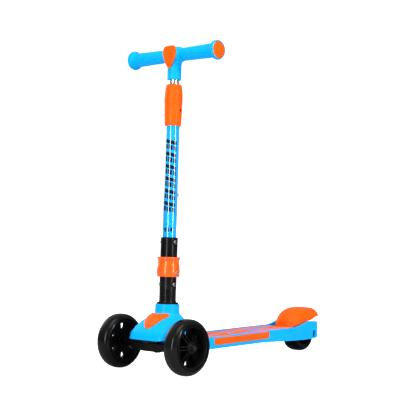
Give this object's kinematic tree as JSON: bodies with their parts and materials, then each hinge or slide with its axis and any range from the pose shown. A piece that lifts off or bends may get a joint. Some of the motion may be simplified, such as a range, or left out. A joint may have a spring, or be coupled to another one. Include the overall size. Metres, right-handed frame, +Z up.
{
  "type": "folding three-wheeled kick scooter",
  "caption": "Child's three-wheeled kick scooter with lean steering, folding telescopic stem, slide-up lock collar, cross bar with grips, hollow deck and heel brake over the rear wheel.",
  "frame": {"origin": "on the ground under the middle of the scooter's bounding box", "axes": "+Z up; the rider faces -Y; +X is the rider's left"},
  "size_m": [0.262, 0.62, 0.7148],
  "materials": {
    "blue_plastic": "moulded bright blue, satin gloss",
    "orange_plastic": "moulded bright orange, satin gloss",
    "black_plastic": "moulded black, soft sheen",
    "smoke_tyre": "smooth glossy smoke-black polyurethane",
    "blue_tube": "gloss blue lacquer on aluminium tube",
    "chrome": "bright chrome",
    "steel": "zinc-plated steel",
    "blue_grip": "soft-touch blue elastomer",
    "deck_graphic": "printed anti-slip sheet",
    "rubber": "black rubber bush"
  },
  "bodies": {
    "deck": {"deck_shell": "blue_plastic", "deck_mat": "deck_graphic", "side_panel_left": "orange_plastic", "side_panel_right": "orange_plastic", "front_housing": "blue_plastic", "nose_badge": "orange_plastic", "steering_bracket": "steel", "bracket_bolt": "steel", "kingpin": "steel", "kingpin_nut": "steel", "steering_bush": "rubber", "rear_axle": "steel", "rear_spacer_left": "steel", "rear_spacer_right": "steel", "fender_pin": "steel", "fender_spring": "steel", "column_tube": "blue_tube", "column_ring": "black_plastic", "lower_sleeve": "black_plastic", "lower_sleeve_bolt": "steel", "lower_sleeve_nut": "steel", "hinge_pin": "steel"},
    "truck": {"truck_beam": "black_plastic", "front_axle_left": "steel", "front_axle_right": "steel", "axle_nut_left": "steel", "axle_nut_right": "steel"},
    "wheel_left": {"tyre_left": "smoke_tyre", "hub_left": "black_plastic", "bearing_left_inner": "steel", "bearing_left_outer": "steel"},
    "wheel_right": {"tyre_right": "smoke_tyre", "hub_right": "black_plastic", "bearing_right_inner": "steel", "bearing_right_outer": "steel"},
    "rear_wheel": {"rear_tyre": "smoke_tyre", "rear_hub": "black_plastic", "rear_bearing_left": "steel", "rear_bearing_right": "steel"},
    "fender_brake": {"fender": "orange_plastic", "brake_pad": "black_plastic"},
    "stem": {"upper_sleeve": "black_plastic", "upper_sleeve_bolt": "steel", "upper_sleeve_nut": "steel", "stem_tube": "blue_tube", "stem_bush": "black_plastic", "clamp_base": "orange_plastic", "clamp_screw": "steel", "stop_screw": "steel"},
    "collar": {"lock_collar": "orange_plastic"},
    "button": {"lock_button": "chrome"},
    "knob": {"twist_knob": "orange_plastic"},
    "handlebar": {"inner_tube": "chrome", "tee_head": "blue_plastic", "tee_badge": "orange_plastic", "cross_tube": "steel", "grip_left": "blue_grip", "grip_right": "blue_grip", "grip_cap_left": "orange_plastic", "grip_cap_right": "orange_plastic"}
  },
  "joints": [
    {"name": "steer_lean", "type": "hinge", "parent": "deck", "child": "truck", "pos_m": [0, -0.238, 0.057], "axis": [0, -0.6428, 0.766], "range_deg": [-10, 10], "stiffness_Nm_per_rad": 35},
    {"name": "wheel_left_spin", "type": "hinge", "parent": "truck", "child": "wheel_left", "pos_m": [0.1015, -0.25, 0.06], "axis": [1, 0, 0], "continuous": true},
    {"name": "wheel_right_spin", "type": "hinge", "parent": "truck", "child": "wheel_right", "pos_m": [-0.1015, -0.25, 0.06], "axis": [1, 0, 0], "continuous": true},
    {"name": "rear_wheel_spin", "type": "hinge", "parent": "deck", "child": "rear_wheel", "pos_m": [0, 0.27, 0.04], "axis": [1, 0, 0], "continuous": true},
    {"name": "brake_press", "type": "hinge", "parent": "deck", "child": "fender_brake", "pos_m": [0, 0.212, 0.0615], "axis": [-1, 0, 0], "range_deg": [0, 5], "stiffness_Nm_per_rad": 4, "springref_deg": -2.86},
    {"name": "stem_fold", "type": "hinge", "parent": "deck", "child": "stem", "pos_m": [0, -0.18707, 0.2082], "axis": [-1, 0, 0], "range_deg": [0, 95]},
    {"name": "collar_slide", "type": "slide", "parent": "stem", "child": "collar", "axis": [0, 0.0433, 0.9991], "range_m": [0, 0.024]},
    {"name": "button_press", "type": "slide", "parent": "collar", "child": "button", "axis": [-1, 0, 0], "range_m": [0, 0.0015], "stiffness_N_per_m": 800, "springref_m": -0.001},
    {"name": "twist_lock", "type": "hinge", "parent": "stem", "child": "knob", "pos_m": [0, -0.18414, 0.59944], "axis": [0, 0.0433, 0.9991], "range_deg": [0, 90]},
    {"name": "height_slide", "type": "slide", "parent": "stem", "child": "handlebar", "axis": [0, 0.0433, 0.9991], "range_m": [0, 0.14]}
  ],
  "couplings": [
    {"joint": "collar_slide", "follows": "stem_fold", "m_per_rad": 0.01447}
  ]
}
